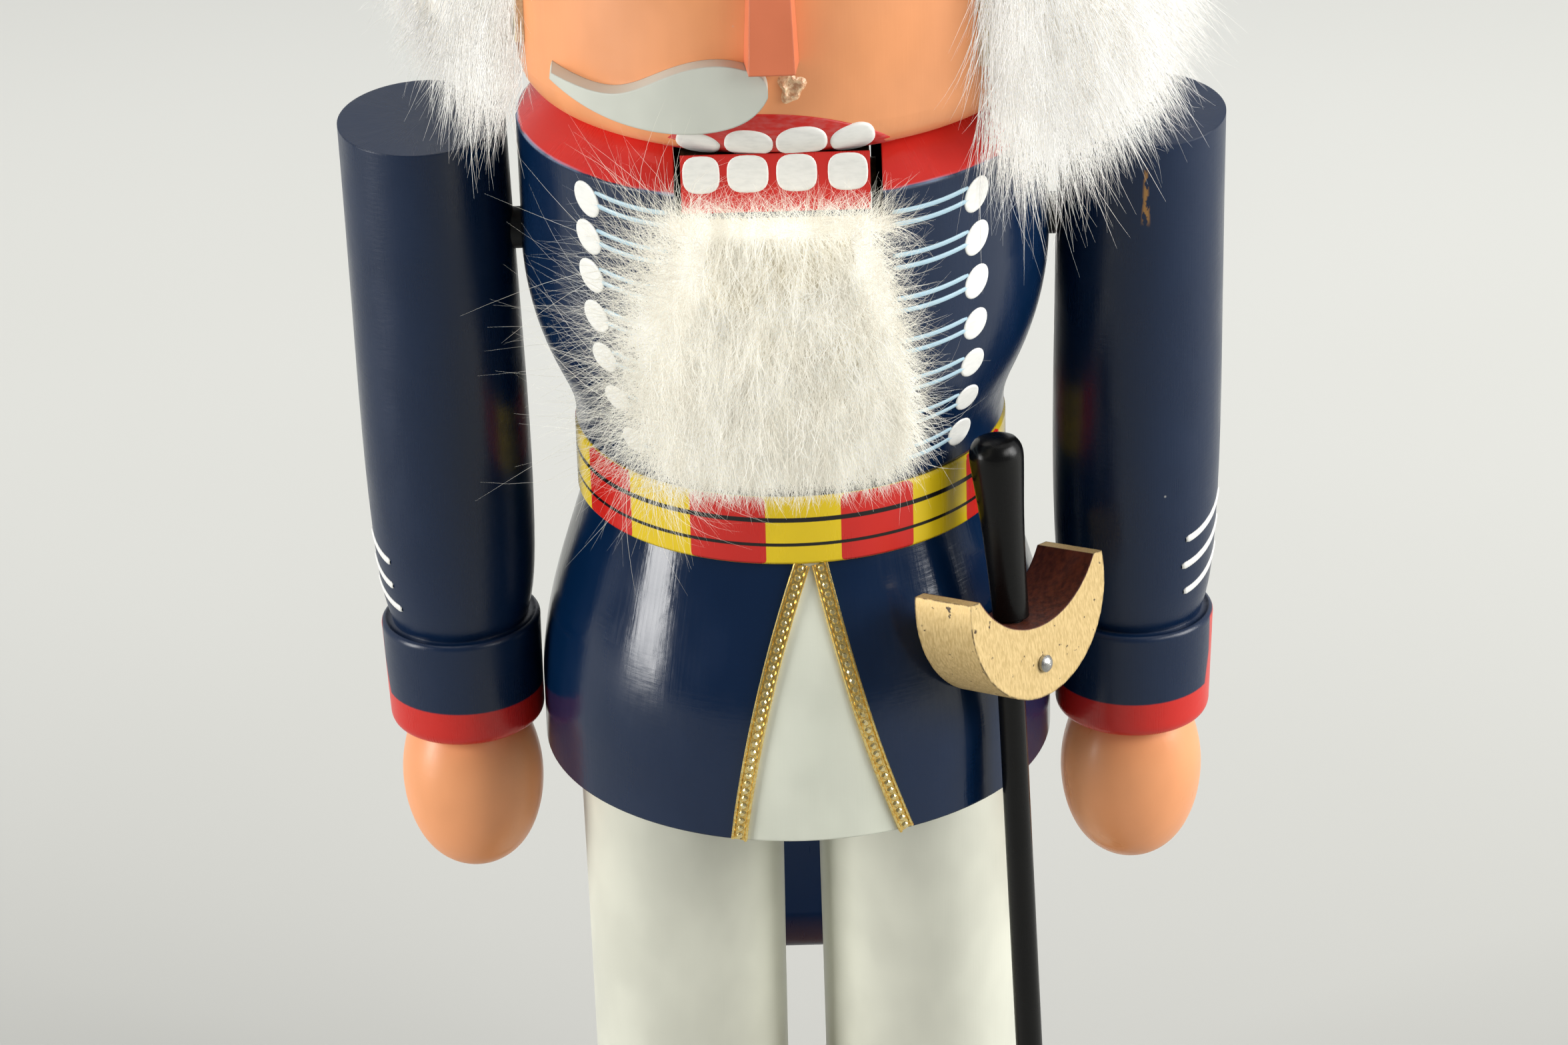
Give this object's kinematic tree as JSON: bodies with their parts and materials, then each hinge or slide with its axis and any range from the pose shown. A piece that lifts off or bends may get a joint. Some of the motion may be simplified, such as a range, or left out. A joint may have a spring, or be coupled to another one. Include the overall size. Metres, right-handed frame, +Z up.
{
  "type": "nutcracker figure",
  "caption": "Turned and painted wooden soldier nutcracker: lever-worked jaw, fur hair and beard, braided coat, slotted chest and a sabre nailed at the hip.",
  "frame": {"origin": "centre of the round base's underside, on the axis of the turned body", "axes": "+Z up through the body, the face looks along -Y, the figure's left hand is at +X"},
  "size_m": [0.125, 0.1106, 0.3532],
  "materials": {
    "navy_lacquer": "gloss",
    "white_lacquer": "satin",
    "black_lacquer": "gloss",
    "flesh_lacquer": "gloss",
    "nose_lacquer": "satin",
    "belt_paint": "gloss",
    "gold_paint": "satin",
    "moustache_paint": "satin",
    "base_lacquer": "gloss",
    "bare_beech": "matt",
    "gold_braid": "metallised, beaded",
    "hair_fur": "long soft fur",
    "beard_fur": "long soft fur",
    "fur_skin": "suede back of the fur",
    "nail_steel": "satin"
  },
  "bodies": {
    "figure": {"base": "base_lacquer", "leg_left": "white_lacquer", "leg_right": "white_lacquer", "toe_cap_left": "black_lacquer", "toe_cap_right": "black_lacquer", "leg_dowels": "bare_beech", "coat_skirt": "navy_lacquer", "belt_ring": "belt_paint", "waist_dowels": "bare_beech", "upper_body": "navy_lacquer", "lever_pin": "bare_beech", "head": "flesh_lacquer", "neck_dowels": "bare_beech", "nose": "nose_lacquer", "moustache_half": "moustache_paint", "hair_leather": "fur_skin", "hair_fur": "hair_fur", "hat_body": "navy_lacquer", "hat_dowel": "bare_beech", "hat_peak": "black_lacquer", "hat_braid": "gold_braid", "hat_knob": "gold_paint", "arm_left": "navy_lacquer", "arm_right": "navy_lacquer", "hand_left": "flesh_lacquer", "hand_right": "flesh_lacquer", "arm_dowels": "bare_beech", "coat_braid_left": "gold_braid", "coat_braid_right": "gold_braid", "sabre_nail": "nail_steel"},
    "jaw_lever": {"jaw_lever": "navy_lacquer", "beard_leather": "fur_skin"},
    "beard": {"beard_fur": "beard_fur"},
    "sabre": {"sabre_guard": "gold_paint", "sabre_grip": "black_lacquer", "sabre_blade": "black_lacquer"}
  },
  "joints": [
    {"name": "jaw_open", "type": "hinge", "parent": "figure", "child": "jaw_lever", "pos_m": [0, 0.004, 0.2], "axis": [1, 0, 0], "range_deg": [0, 28]},
    {"name": "beard_hang", "type": "hinge", "parent": "jaw_lever", "child": "beard", "pos_m": [0, -0.036, 0.209], "axis": [1, 0, 0], "range_deg": [-31, 0]},
    {"name": "sabre_swing", "type": "hinge", "parent": "figure", "child": "sabre", "pos_m": [0.0348, -0.03068, 0.13889], "axis": [0.7409, -0.6532, 0.1564], "range_deg": [-8, 8], "stiffness_Nm_per_rad": 0.05}
  ],
  "couplings": [
    {"joint": "beard_hang", "follows": "jaw_open", "ratio": -1.1}
  ]
}
